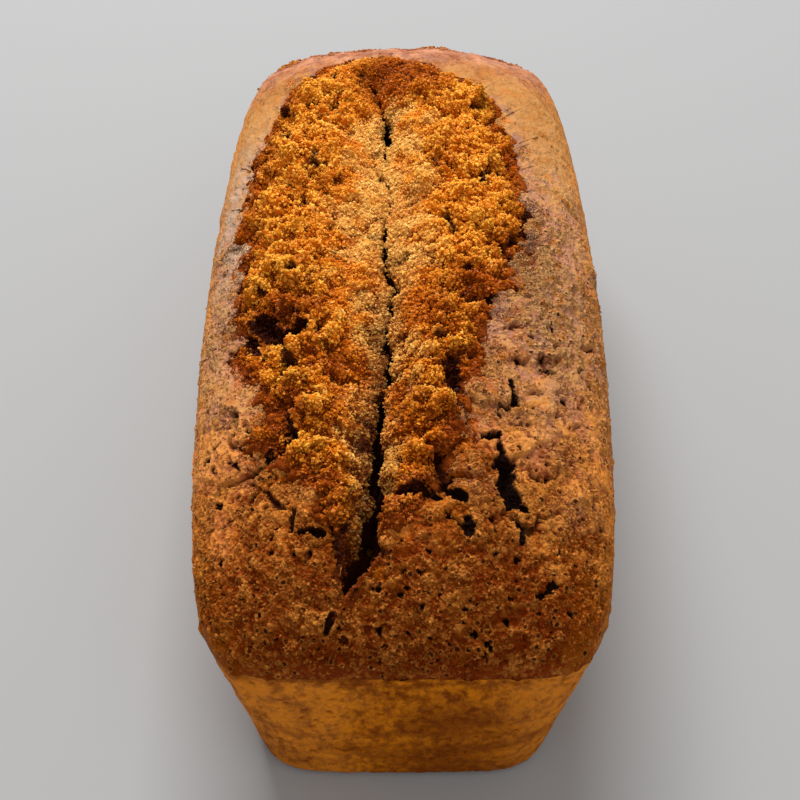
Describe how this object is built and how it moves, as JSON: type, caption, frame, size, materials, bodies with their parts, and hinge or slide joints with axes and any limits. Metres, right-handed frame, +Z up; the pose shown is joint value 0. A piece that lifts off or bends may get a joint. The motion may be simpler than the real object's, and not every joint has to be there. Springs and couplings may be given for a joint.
{
  "type": "gingerbread loaf",
  "caption": "Uncut gingerbread loaf with tapered golden sides, a browned domed top and a long ragged split showing orange-brown crumb.",
  "frame": {"origin": "on the resting plane, under the middle of the loaf", "axes": "+Z up, +Y along the loaf away from the end where the split narrows to a point, +X to the right seen from that end"},
  "size_m": [0.1074, 0.23, 0.0914],
  "materials": {
    "crust": "browned, pored top crust",
    "side_crust": "golden mottled tin side",
    "crumb": "torn granular crumb"
  },
  "bodies": {
    "root": {"loaf": "crust"}
  },
  "joints": []
}
